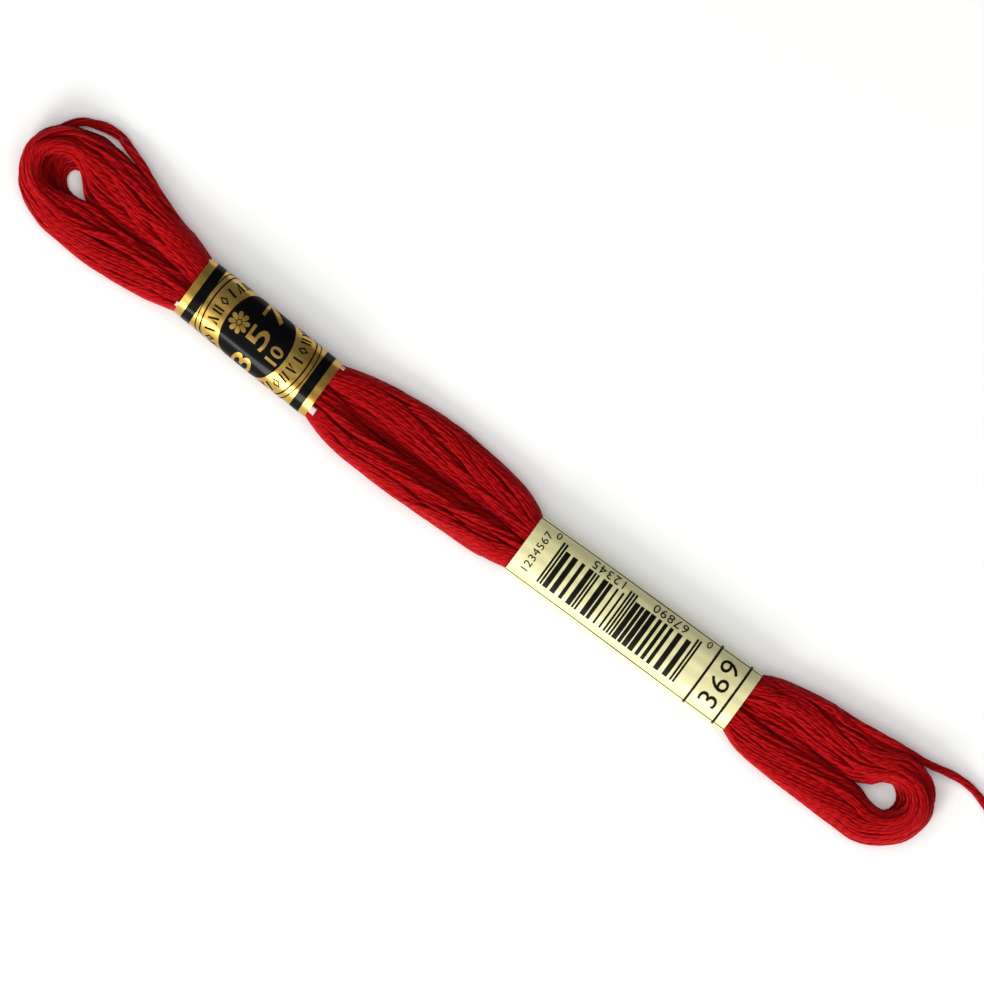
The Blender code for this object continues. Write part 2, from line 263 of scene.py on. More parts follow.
def winding():
    """Centre lines of all turns, packed section by section. Returns (TURNS, J) offsets and heights."""
    grid = [((i + 0.5 * (j % 2)) * 1.0, j * 0.866) for j in range(-4, 5) for i in range(-4, 5)]
    grid = sorted(grid, key=lambda p: (round((p[0] - 0.2) ** 2 + (p[1] - 0.1) ** 2, 6), p))[:TURNS]
    slots = np.array(grid)
    slots -= slots.mean(0)
    slots /= np.hypot(*slots.T).max() * 1.08
    order = sorted(range(TURNS), key=lambda k: (round(slots[k, 0] * 2.2), slots[k, 1] * (1 if round(slots[k, 0] * 2.2) % 2 else -1)))
    slots = slots[order[::-1]]
    after = np.concatenate([slots[1:], slots[-1:]])
    share = np.arange(J) / J
    a, b = np.empty((TURNS, J)), np.empty((TURNS, J))
    for k in range(TURNS):
        middle = rng.uniform(0.25, 0.85)
        t = np.clip((share - middle) / 0.12 + 0.5, 0, 1)
        t = t * t * (3 - 2 * t)
        a[k] = slots[k, 0] * (1 - t) + after[k, 0] * t
        b[k] = slots[k, 1] * (1 - t) + after[k, 1] * t
    loose = 1 - 0.6 * near_band(u_of)
    a += 0.20 * smooth_noise(TURNS * J, 11, 11).reshape(TURNS, J) * loose
    b += 0.20 * smooth_noise(TURNS * J, 11, 12).reshape(TURNS, J) * loose
    # each leg is rolled a little about itself between the bands
    roll = (0.55 * np.sin(u_of / 11.0 + 0.6) + 0.35 * np.sin(u_of / 23.0 + 2.0)) * (abs(u_of) < 70)
    roll = ring_blur(roll, 4)
    a, b = a * np.cos(roll) - b * np.sin(roll), a * np.sin(roll) + b * np.cos(roll)
    size = np.maximum(np.hypot(a, b) / 0.98, 1)
    a, b = a / size, b / size
    q = 0.5 + (b * np.sqrt(1 - b**2) + np.arcsin(b)) / np.pi
    across = np.clip(a / np.sqrt(1 - b**2), -1, 1)
    r = spread / 2
    tau = np.linspace(0.02, 0.98, 40)
    chord = (1 - abs(2 * tau - 1) ** 2.3) ** (1 / 2.3)
    a0, z0 = np.empty_like(a), np.empty_like(a)
    for j in range(J):
        c = chord if in_band[j] else np.where(tau < 0.5, np.maximum(chord, 0.8), chord)
        z = r[j] + tau * max(height[j] - 2 * r[j], 0.5)
        wide = 2 * half_w[j] * c + lean[j] * level(z)
        below = np.cumsum(wide)
        below = (below - below[0]) / (below[-1] - below[0])
        at = np.interp(q[:, j], below, tau)
        z0[:, j] = r[j] + at * max(height[j] - 2 * r[j], 0.5)
        c_at = np.interp(at, tau, c)
        far = half_w[j] * c_at - r[j]
        near = -half_w[j] * c_at - lean[j] * level(z0[:, j]) + r[j]
        near = np.minimum(near, far - 0.2)
        a0[:, j] = near + (across[:, j] + 1) / 2 * (far - near)
    for rows in (a0, z0):
        flat = rows.ravel()
        flat[:] = blur(flat, 1.2)
    A, Z = a0.copy(), z0.copy()
    d_body = spread[at_lower]
    probe = at_upper[3]
    stray_turn = int(np.argmax(np.where(np.arange(TURNS) > 1, a0[:, probe] - 0.15 * z0[:, probe], -9)))
    stray_on = stray > 0.02
    free = np.ones((TURNS, J))
    free[stray_turn] = 1 - np.clip(stray / 0.3, 0, 1)
    lead = np.isin(np.arange(J), at_upper) & (u_of > 47) & (u_of < 67)
    lead_w = np.where(lead, np.clip((u_of - 47) / 10.0, 0, 1), 0)
    lead_a = np.interp(u_of, [47, 55, 60, 66], [2.0, 3.1, 4.05, 4.75]) - plan[:, 1]
    lead_z = np.interp(u_of, [47, 60, 66], [3.4, 3.3, 3.0])
    stray_a = half_w - 0.55 + stray
    stray_z = np.clip(2.9 - 1.1 * stray, 0.75, 4.0)
    stray_w = np.clip(stray / 0.25, 0, 1)
    gravity = 0.010 * (1 - near_band(u_of))
    absent = np.zeros((TURNS, J), bool)
    absent[0, :first_station] = True
    steps = 150
    for step in range(steps):
        Ac = np.where(absent, 500.0, A)
        da = Ac[:, None, :] - Ac[None, :, :]
        dz = Z[:, None, :] - Z[None, :, :]
        dist = np.sqrt(da**2 + dz**2) + 1e-6
        over = np.maximum(spread / dist - 1, 0)
        over[np.arange(TURNS), np.arange(TURNS)] = 0
        push_a, push_z = (over * da).sum(1), (over * dz).sum(1)
        vl = plan[at_lower, 1] - Ac[:, at_lower]
        vu = plan[at_upper, 1] + Ac[:, at_upper]
        dv = vl[:, None, :] - vu[None, :, :]
        dz = Z[:, at_lower][:, None, :] - Z[:, at_upper][None, :, :]
        dist = np.sqrt(dv**2 + dz**2) + 1e-6
        over = np.maximum(d_body / dist - 1, 0)
        push_a[:, at_lower] -= (over * dv).sum(1)
        push_z[:, at_lower] += (over * dz).sum(1)
        push_a[:, at_upper] -= (over * dv).sum(0)
        push_z[:, at_upper] -= (over * dz).sum(0)
        A += 0.30 * np.clip(push_a, -1, 1) * free
        Z += 0.30 * np.clip(push_z, -1, 1) * free
        Z -= gravity
        A += 0.010 * (a0 - A)
        Z += 0.006 * (z0 - Z)
        keep_a, keep_z = (A - a0).ravel(), (Z - z0).ravel()
        if step % 2 == 0 or step > steps - 8:
            A = a0 + (0.5 * keep_a + 0.25 * (np.roll(keep_a, 1) + np.roll(keep_a, -1))).reshape(A.shape)
            Z = z0 + (0.5 * keep_z + 0.25 * (np.roll(keep_z, 1) + np.roll(keep_z, -1))).reshape(Z.shape)
        A += np.minimum(half_w - r - A, 0) * 0.6 * free
        inner = -(half_w - r) - lean * level(Z)
        A += np.maximum(inner - A, 0) * np.where(abs(u_of) > 71, 0.6, 0.12)
        Z += np.minimum(height + 0.3 - r - Z, 0) * 0.35
        A, Z = keep_in_band(A, Z, r)
        Z = np.maximum(Z, r + 0.02)
        A[stray_turn] += stray_w * 0.6 * (stray_a - A[stray_turn])
        Z[stray_turn] += stray_w * 0.6 * (stray_z - Z[stray_turn])
        A[0] += lead_w * 0.5 * (lead_a - A[0])
        Z[0] += lead_w * 0.5 * (lead_z - Z[0])
    # the stray turn has no sharp bends
    for rows in (A, Z):
        soft = blur(rows[stray_turn], 0.9)
        near = np.clip(ring_blur((stray > 0.02) * 1.0, 3.0) * 1.6, 0, 1)
        rows[stray_turn] += near * (soft - rows[stray_turn])
    return A, Z, stray_turn, absent


A, Z, STRAY_TURN, absent = winding()

# ---- the loose end ---------------------------------------------------------------
# Close to part.py's route, from where it leaves the hank to its cut end.
LOOSE = [
    (69.4, 5.12), (71.2, 5.38), (73.4, 5.62), (75.8, 5.80), (78.2, 6.05), (80.4, 6.55),
    (83.2, 6.98), (86.2, 6.75), (89.6, 5.65), (92.3, 4.60), (94.7, 3.10), (96.7, 1.20),
    (98.1, -1.10), (98.9, -3.70),
]
cord_line = through(LOOSE, 0.9)
cord_line = np.column_stack([cord_line, blur(np.interp(cord_line[:, 0], [69.4, 73.0, 77.0, 80.5, 84.0, 87.5], [2.95, 2.85, 2.45, 1.75, 1.05, 0.62]), 2)])
n_cord = len(cord_line)

# the whole thread's middle line: the loose end from its tip, a short bridge, the turns
thread = np.concatenate([plan[None] + A[:, :, None] * out_dir[None], Z[:, :, None]], 2)
flat = thread.reshape(-1, 3)[first_station:]
bridge = through(np.array([cord_line[2], cord_line[0], (67.7, 4.92, 2.98), flat[0], flat[2]]), 0.5)
to_start = np.hypot(*(bridge[:, :2] - cord_line[0, :2]).T)
from_thread = np.hypot(*(bridge[:, :2] - flat[0, :2]).T)
bridge = bridge[int(np.argmin(to_start)) + 1:int(np.argmin(from_thread))][::2]
n_lead = n_cord + len(bridge)
whole = np.concatenate([cord_line[::-1], bridge, flat])
ahead = np.gradient(whole[:, :2], axis=0)
ahead /= np.hypot(*ahead.T)[:, None]
whole_out = np.stack([ahead[:, 1], -ahead[:, 0]], 1)
whole_out[n_lead:] = np.broadcast_to(out_dir, (TURNS, J, 2)).reshape(-1, 2)[first_station:]
step_len = np.sqrt((np.diff(whole, axis=0) ** 2).sum(1))
whole_s = np.concatenate([[0], np.cumsum(step_len)])
THREAD_LENGTH = float(whole_s[-1])

# ---- its six strands ----------------------------------------------------------------
LAY = 19.0  # millimetres for one turn of the strands about each other
STRAND_R = 0.222
n_whole = len(whole)
size_at = np.concatenate([np.full(n_lead, 1.10), np.broadcast_to(spread, (TURNS, J)).ravel()[first_station:]]) / 1.10
lay_angle = 2 * np.pi * whole_s / LAY + 0.5 * smooth_noise(n_whole, 16, 21)
off_a, off_z = np.empty((STRANDS, n_whole)), np.empty((STRANDS, n_whole))
in_hank = np.clip((np.arange(n_whole) - n_lead + 4) / 12.0, 0, 1)
for m in range(STRANDS):
    angle = lay_angle + 2 * np.pi * m / STRANDS + (0.10 + 0.45 * in_hank) * smooth_noise(n_whole, 7, 40 + m)
    reach = (0.375 + in_hank * (0.055 + 0.06 * smooth_noise(n_whole, 6, 60 + m))) * size_at
    off_a[m], off_z[m] = reach * np.cos(angle), reach * np.sin(angle)


def in_sections(values):
    """(STRANDS, n_whole) to (STRANDS, TURNS, J)."""
    out = np.zeros((STRANDS, TURNS * J))
    out[:, first_station:] = values[:, n_lead:]
    return out.reshape(STRANDS, TURNS, J)


def pressed(a, z, gone):
    """The hank is pressed smooth: its outermost strands are drawn into one rounded surface."""
    toward = np.arange(96) * 2 * np.pi / 96 - np.pi
    loose_turn = np.zeros((STRANDS, TURNS), bool)
    loose_turn[:, STRAY_TURN] = True
    loose_turn = loose_turn.ravel()
    shift_a, shift_z = np.zeros_like(a), np.zeros_like(z)
    weight = 0.75 * np.clip(1 - lean / 0.9, 0, 1)
    for j in range(J):
        on = ~gone[:, j] & ~(loose_turn & (stray[j] > 0.02))
        ca, cz = a[on, j].mean(), z[on, j].mean()
        da, dz = a[:, j] - ca, z[:, j] - cz
        rho, phi = np.hypot(da, dz), np.arctan2(dz, da)
        apart = abs((phi[None] - toward[:, None] + np.pi) % (2 * np.pi) - np.pi)
        beside = rho[None] * np.sin(apart)
        sees = (apart < np.pi / 2) & (beside < 0.45) & on[None]
        reach = np.where(sees, rho[None] * np.cos(apart) + np.sqrt(np.maximum(0.45**2 - beside**2, 0)) - 0.45, 0)
        shell = reach.max(1)
        k = np.exp(-((np.arange(-12, 13) / 4.0) ** 2) / 2)
        shell = np.convolve(np.concatenate([shell[-12:], shell, shell[:12]]), k / k.sum(), "valid")
        e = np.interp(phi, toward, shell, period=2 * np.pi)
        outer = np.clip((rho - (e - 0.85)) / 0.35, 0, 1) * on * weight[j]
        outward = np.cos(phi)
        if abs(u_of[j]) < 74:  # the two legs stay shut against each other
            outer *= np.clip((outward + 0.40) / 0.40, 0, 1)
        outer *= 1 - np.clip((outward - 0.2) / 0.3, 0, 1) * np.clip(stray[j] / 0.3, 0, 1)
        draw = outer * np.clip(e - 0.02 - rho, -0.35, 0.45)
        shift_a[:, j], shift_z[:, j] = draw * np.cos(phi), draw * np.sin(phi)
    for rows in (shift_a, shift_z):
        d = rows.reshape(STRANDS, -1)
        for _ in range(2):
            d[:, 1:-1] = 0.5 * d[:, 1:-1] + 0.25 * (d[:, :-2] + d[:, 2:])
    return a + shift_a, z + shift_z


def settle_strands():
    """The strands push each other aside, so that the threads close up as they do in the hank."""
    n = STRANDS * TURNS
    base_a = (A[None] + in_sections(off_a)).reshape(n, J)
    base_z = (Z[None] + in_sections(off_z)).reshape(n, J)
    gone = np.broadcast_to(absent[None], (STRANDS, TURNS, J)).reshape(n, J)
    a, z = base_a.astype(np.float32), base_z.astype(np.float32)
    home_a, home_z = a.copy(), z.copy()
    room = (0.428 * spread / 1.09).astype(np.float32)[:, None, None]
    gone_t = gone.T
    for step in range(42):
        at, zt = np.where(gone_t, 500.0, a.T).astype(np.float32), z.T.copy()
        push_a, push_z = np.zeros_like(at), np.zeros_like(zt)
        for j0 in range(0, J, 40):
            part = slice(j0, j0 + 40)
            da = at[part, :, None] - at[part, None, :]
            dz = zt[part, :, None] - zt[part, None, :]
            over = room[part] / np.sqrt(da * da + dz * dz + 1e-6) - 1
            np.maximum(over, 0, out=over)
            push_a[part] = np.einsum("jab,jab->ja", over, da)
            push_z[part] = np.einsum("jab,jab->ja", over, dz)
        vl = (plan[at_lower, 1][:, None] - at[at_lower]).astype(np.float32)
        vu = (plan[at_upper, 1][:, None] + at[at_upper]).astype(np.float32)
        zl, zu = zt[at_lower], zt[at_upper]
        for j0 in range(0, n_body, 40):
            part = slice(j0, j0 + 40)
            dv = vl[part, :, None] - vu[part, None, :]
            dz = zl[part, :, None] - zu[part, None, :]
            over = room[at_lower][part] / np.sqrt(dv * dv + dz * dz + 1e-6) - 1
            np.maximum(over, 0, out=over)
            push_a[at_lower[part]] -= np.einsum("jab,jab->ja", over, dv)
            push_z[at_lower[part]] += np.einsum("jab,jab->ja", over, dz)
            push_a[at_upper[part]] -= np.einsum("jab,jab->jb", over, dv)
            push_z[at_upper[part]] -= np.einsum("jab,jab->jb", over, dz)
        a += 0.35 * np.clip(push_a, -0.4, 0.4).T
        z += 0.35 * np.clip(push_z, -0.4, 0.4).T
        a += 0.02 * (home_a - a)
        z += 0.02 * (home_z - z)
        if step % 2 or step > 38:
            for now, home in ((a, home_a), (z, home_z)):
                d = (now - home).reshape(STRANDS, -1)
                d[:, 1:-1] = 0.5 * d[:, 1:-1] + 0.25 * (d[:, :-2] + d[:, 2:])
                now[:] = home + d.reshape(n, J)
        z = np.maximum(z, STRAND_R + 0.01)
        a, z = keep_in_band(a, z, STRAND_R)
        a, z = a.astype(np.float32), z.astype(np.float32)
    for _ in range(2):
        a, z = pressed(a, z, gone)
    z = np.maximum(z, STRAND_R + 0.01)
    a, z = keep_in_band(a, z, STRAND_R)
    moved_a = (a - base_a).reshape(STRANDS, -1)[:, first_station:]
    moved_z = (z - base_z).reshape(STRANDS, -1)[:, first_station:]
    fade = np.clip(np.arange(moved_a.shape[1]) / 8.0, 0, 1)
    off_a[:, n_lead:] += moved_a * fade
    off_z[:, n_lead:] += moved_z * fade


settle_strands()
# the stray turn lies flat, its strands side by side
stray_at = n_lead + STRAY_TURN * J + np.arange(J) - first_station
off_a[:, stray_at] *= 1 + 0.12 * blur(np.clip(stray / 0.8, 0, 1), 1.5)
joint = n_cord - 1
marks = [0, joint]
flat_turn = np.arange(TURNS * J) - first_station + n_lead
for turn in (6, 12, 18):
    marks.append(int(flat_turn[turn * J]))  # in the cream band, where nothing shows
marks.append(n_whole - 1)
RING_STEP = 0.95
AROUND = 6


def resampled(points, step):
    """Evenly spaced along the strand, with every marked point kept. Returns the points and the marks' places."""
    seg = np.sqrt((np.diff(points, axis=0) ** 2).sum(1))
    t = np.concatenate([[0], np.cumsum(seg)])
    m = np.gradient(points, t, axis=0)
    out, places = [], [0]
    for lo, hi in zip(marks, marks[1:]):
        n = max(2, int(round((t[hi] - t[lo]) / step)))
        out.append(np.linspace(t[lo], t[hi], n + 1)[:-1])
        places.append(places[-1] + n)
    at = np.concatenate([*out, [t[-1]]])
    i = np.clip(np.searchsorted(t, at, "right") - 1, 0, len(seg) - 1)
    h, s = ((at - t[i]) / seg[i])[:, None], seg[i][:, None]
    q = ((2 * h**3 - 3 * h**2 + 1) * points[i] + (h**3 - 2 * h**2 + h) * s * m[i]
         + (-2 * h**3 + 3 * h**2) * points[i + 1] + (h**3 - h**2) * s * m[i + 1])
    return q, at, places


strands = []
for m in range(STRANDS):
    p = whole.copy()
    p[:, :2] += off_a[m][:, None] * whole_out
    p[:, 2] = np.maximum(p[:, 2] + off_z[m], STRAND_R + 0.005)
    # where sections fan out from an eye their inner points crowd: even the line out there
    for _ in range(14):
        d = np.sqrt((np.diff(p, axis=0) ** 2).sum(1))
        before, after_ = d[:-1, None], d[1:, None]
        chord = (p[:-2] * after_ + p[2:] * before) / (before + after_)
        ease = np.clip(1.15 - np.minimum(before, after_) / 0.75, 0, 0.6)
        p[1:-1] += ease * (chord - p[1:-1])
    centre, along, places = resampled(p, RING_STEP)
    tangent = np.gradient(centre, axis=0)
    tangent /= np.sqrt((tangent**2).sum(1))[:, None]
    side = np.cross(tangent, [0.0, 0.0, 1.0])
    side /= np.sqrt((side**2).sum(1))[:, None]
    up = np.cross(side, tangent)
    n = len(centre)
    rings = np.empty((n, AROUND, 3))
    for k in range(AROUND):
        angle = 2 * np.pi * k / AROUND
        reach = STRAND_R * (1.03 + 0.06 * smooth_noise(n, 2, 500 + 10 * m + k))
        rings[:, k] = centre + (reach * np.cos(angle))[:, None] * side + (reach * np.sin(angle))[:, None] * up
    rings[:, :, 2] = np.maximum(rings[:, :, 2], 0.003)
    strands.append((rings, centre, along, places))
print("thread length mm", round(THREAD_LENGTH), "rings", sum(len(s[1]) for s in strands), "stray turn", STRAY_TURN)


def strand_piece(name, first_mark, last_mark, material):
    """All six strands between two marks, each closed at both ends, with a thread map and a bake map."""
    points, faces, thread_uv, bake_uv = [], [], [], []
    total = sum(s[3][last_mark] - s[3][first_mark] for s in strands)
    strips = max(1, int(round(math.sqrt(0.736 * total))))
    per = math.ceil(total / strips)
    base, row0, cap_n = 0, 0, 0
    for number, (rings, centre, along, places) in enumerate(strands):
        a, b = places[first_mark], places[last_mark]
        part = rings[a:b + 1]
        n = len(part)
        points += [part.reshape(-1, 3), centre[a:a + 1], centre[b:b + 1]]
        i = (np.arange(n - 1) * AROUND)[:, None]
        k = np.arange(AROUND)[None]
        k2 = (k + 1) % AROUND
        quads = base + np.stack([i + k, i + k2, i + k2 + AROUND, i + k + AROUND], 2).reshape(-1, 4)
        faces += list(map(tuple, quads))
        end = base + (n - 1) * AROUND
        tip = base + n * AROUND
        faces += [(tip, base + (j + 1) % AROUND, base + j) for j in range(AROUND)]
        faces += [(tip + 1, end + j, end + (j + 1) % AROUND) for j in range(AROUND)]
        kk = np.broadcast_to(k, (n - 1, AROUND)).ravel()
        ii = np.broadcast_to(np.arange(n - 1)[:, None], (n - 1, AROUND)).ravel()
        u0, u1 = kk / AROUND, (kk + 1) / AROUND
        v0, v1 = along[a + ii], along[a + ii + 1]
        u0t, u1t = u0 + number, u1 + number
        thread_uv.append(np.stack([np.stack([u0t, v0], 1), np.stack([u1t, v0], 1), np.stack([u1t, v1], 1), np.stack([u0t, v1], 1)], 1).reshape(-1, 2))
        cap = np.zeros((2 * AROUND * 3, 2))
        cap[:, 0] = number
        cap[:AROUND * 3, 1], cap[AROUND * 3:, 1] = along[a], along[b]
        thread_uv.append(cap)
        row = row0 + ii
        s, q = row // per, row % per
        b0, b1 = (s + 0.05 + 0.9 * u0) / strips, (s + 0.05 + 0.9 * u1) / strips
        c0, c1 = 0.002 + 0.99 * q / per, 0.002 + 0.99 * (q + 1) / per
        bake_uv.append(np.stack([np.stack([b0, c0], 1), np.stack([b1, c0], 1), np.stack([b1, c1], 1), np.stack([b0, c1], 1)], 1).reshape(-1, 2))
        caps = np.zeros((2 * AROUND, 3, 2))
        for j in range(2 * AROUND):
            x = 0.0005 + 0.001 * (cap_n + j)
            caps[j] = ((x, 0.9950), (x + 0.0008, 0.9950), (x + 0.0008, 0.9965))
        bake_uv.append(caps.reshape(-1, 2))
        cap_n += 2 * AROUND
        row0 += n - 1
        base += n * AROUND + 2
    xyz = np.concatenate(points)
    xyz[:, 0] += SHIFT_X
    xyz[:, 1] += SHIFT_Y
    obj = new_mesh(name, xyz * MM, faces, material)
    mesh = obj.data
    for layer_name, data in (("Thread", thread_uv), ("OFBake", bake_uv)):
        layer = mesh.uv_layers.new(name=layer_name, do_init=False)
        layer.uv.foreach_set("vector", np.concatenate(data).astype(np.float32).ravel())
    mesh.uv_layers.active = mesh.uv_layers["Thread"]
    mesh.uv_layers["Thread"].active_render = True
    return obj


# ---- materials ------------------------------------------------------------------------
class Nodes:
    """Short calls for building a node tree."""

    def __init__(self, name):
        self.mat = bpy.data.materials.new(name)
        self.mat.use_nodes = True
        self.tree = self.mat.node_tree
        self.shader = self.tree.nodes["Principled BSDF"]

    def node(self, kind, **settings):
        n = self.tree.nodes.new(kind)
        for key, value in settings.items():
            setattr(n, key, value)
        return n

    def link(self, a, b):
        self.tree.links.new(a, b)

    def math(self, op, a, b=None, clamp=False):
        n = self.node("ShaderNodeMath", operation=op, use_clamp=clamp)
        for socket, value in zip(n.inputs, (a, b)):
            if value is None:
                continue
            if isinstance(value, (int, float)):
                socket.default_value = value
            else:
                self.link(value, socket)
        return n.outputs[0]

    def noise(self, vector, scale, detail=2.0, rough=0.5, dims="3D"):
        n = self.node("ShaderNodeTexNoise", noise_dimensions=dims)
        n.inputs["Scale"].default_value = scale
        n.inputs["Detail"].default_value = detail
        n.inputs["Roughness"].default_value = rough
        self.link(vector, n.inputs["Vector"])
        return n.outputs["Fac"]

    def ramp(self, fac, stops, interpolation="LINEAR"):
        n = self.node("ShaderNodeValToRGB")
        n.color_ramp.interpolation = interpolation
        while len(n.color_ramp.elements) < len(stops):
            n.color_ramp.elements.new(0.5)
        for element, (at, colour) in zip(n.color_ramp.elements, stops):
            element.position = at
            element.color = (*colour, 1.0)
        self.link(fac, n.inputs["Fac"])
        return n.outputs["Color"]


def floss_material(name):
    """Mercerised cotton: two plies twisted in every strand, fine fibres along each ply."""
    m = Nodes(name)
    uv = m.node("ShaderNodeUVMap", uv_map="Thread")
    split = m.node("ShaderNodeSeparateXYZ")
    m.link(uv.outputs["UV"], split.inputs[0])
    around, length = split.outputs["X"], split.outputs["Y"]
    # the plies run round the strand, two of them, one whole turn in 3 mm
    twist = m.math("SUBTRACT", m.math("MULTIPLY", around, 2.0), m.math("DIVIDE", length, 1.5))
    ply = m.math("ABSOLUTE", m.math("SINE", m.math("MULTIPLY", twist, math.pi)))
    # fibres: thin streaks along the ply
    fibre_at = m.node("ShaderNodeCombineXYZ")
    m.link(m.math("MULTIPLY", twist, 5.0), fibre_at.inputs[0])
    m.link(m.math("MULTIPLY", length, 0.9), fibre_at.inputs[1])
    fibre = m.noise(fibre_at.outputs[0], 1.0, 3.0, 0.6)
    patch_at = m.node("ShaderNodeCombineXYZ")
    m.link(m.math("MULTIPLY", m.math("FLOOR", around), 3.7), patch_at.inputs[0])
    m.link(m.math("MULTIPLY", length, 0.07), patch_at.inputs[1])
    patch = m.noise(patch_at.outputs[0], 1.0, 2.0, 0.5)
    tone = m.math("ADD", m.math("MULTIPLY", fibre, 0.36), m.math("MULTIPLY", patch, 0.20))
    # the ply term paints the ply crowns lighter and the grooves between the plies darker: painted highlight and
    # painted shade; the fibre and patch noise above are the thread's own uneven colour
    tone = m.math("ADD", tone, m.math("MULTIPLY", ply, 0.20))
    colour = m.ramp(tone, [
        (0.20, (0.31, 0.0018, 0.0034)), (0.34, (0.41, 0.0028, 0.0050)),
        (0.47, (0.50, 0.0050, 0.0075)), (0.64, (0.62, 0.0200, 0.0215)),
    ])
    m.link(colour, m.shader.inputs["Base Color"])
    rough = m.math("ADD", m.math("MULTIPLY", fibre, 0.24), 0.40)
    m.link(rough, m.shader.inputs["Roughness"])
    m.shader.inputs["Diffuse Roughness"].default_value = 1.0
    m.shader.inputs["Specular IOR Level"].default_value = 0.08
    m.shader.inputs["Specular Tint"].default_value = (1.0, 0.20, 0.18, 1.0)
    m.shader.inputs["Sheen Weight"].default_value = 0.28
    m.shader.inputs["Sheen Roughness"].default_value = 0.5
    m.shader.inputs["Sheen Tint"].default_value = (0.95, 0.09, 0.10, 1.0)
    bump = m.node("ShaderNodeBump")
    bump.inputs["Strength"].default_value = 0.9
    bump.inputs["Distance"].default_value = 0.00008
    m.link(m.math("ADD", m.math("MULTIPLY", ply, 0.9), m.math("MULTIPLY", fibre, 0.6)), bump.inputs["Height"])
    m.link(bump.outputs["Normal"], m.shader.inputs["Normal"])
    return m.mat


def paper_material(name, base, roughness, metallic, tint_low, tint_high, coat=0.0, specular=0.5):
    """Coated printed paper: soft cloudy tone, fine grain and faint creases."""
    m = Nodes(name)
    place_at = m.node("ShaderNodeTexCoord").outputs["Object"]
    cloud = m.noise(place_at, 160.0, 3.0, 0.55)
    grain = m.noise(place_at, 2600.0, 2.0, 0.6)
    tone = m.math("ADD", m.math("MULTIPLY", cloud, 0.75), m.math("MULTIPLY", grain, 0.25))
    colour = m.ramp(tone, [(0.32, tint_low), (0.5, base), (0.70, tint_high)])
    m.link(colour, m.shader.inputs["Base Color"])
    m.link(m.math("ADD", m.math("MULTIPLY", grain, 0.14), roughness - 0.07), m.shader.inputs["Roughness"])
    m.shader.inputs["Metallic"].default_value = metallic
    m.shader.inputs["Coat Weight"].default_value = coat
    m.shader.inputs["Coat Roughness"].default_value = 0.16
    m.shader.inputs["Specular IOR Level"].default_value = specular
    bump = m.node("ShaderNodeBump")
    bump.inputs["Strength"].default_value = 0.35
    bump.inputs["Distance"].default_value = 0.00003
    m.link(m.math("ADD", m.math("MULTIPLY", grain, 0.5), cloud), bump.inputs["Height"])
    m.link(bump.outputs["Normal"], m.shader.inputs["Normal"])
    return m.mat


FLOSS = floss_material("floss")
GOLD = paper_material("gold_foil", (0.49, 0.297, 0.055), 0.30, 0.95, (0.39, 0.223, 0.035), (0.58, 0.375, 0.086), coat=0.22)
BLACK = paper_material("black_ink", (0.0010, 0.0010, 0.0014), 0.34, 0.0, (0.0006, 0.0006, 0.0008), (0.0018, 0.0018, 0.0024), coat=0.13, specular=0.03)
CREAM = paper_material("cream_paper", (0.80, 0.745, 0.385), 0.42, 0.0, (0.75, 0.69, 0.33), (0.84, 0.79, 0.43), coat=0.12)
INK = paper_material("bar_ink", (0.0060, 0.0045, 0.0030), 0.50, 0.0, (0.0030, 0.0022, 0.0015), (0.0105, 0.0082, 0.0052), specular=0.10)
WHITE = paper_material("white_paper", (0.62, 0.50, 0.50), 0.6, 0.0, (0.52, 0.38, 0.38), (0.70, 0.60, 0.60), specular=0.25)

# ---- the thread pieces -------------------------------------------------------------------
cord = strand_piece("loose_end_strands", 0, 1, FLOSS)
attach(cord, "root")
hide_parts("loose_end")
for number in range(1, 5):
    piece = strand_piece(f"skein_strands_{number}", number, number + 1, FLOSS)
    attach(piece, "root")
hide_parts("skein")

# ---- the paper bands -------------------------------------------------------------------------
BAND_TOP = 6.6
PAPER = 0.13


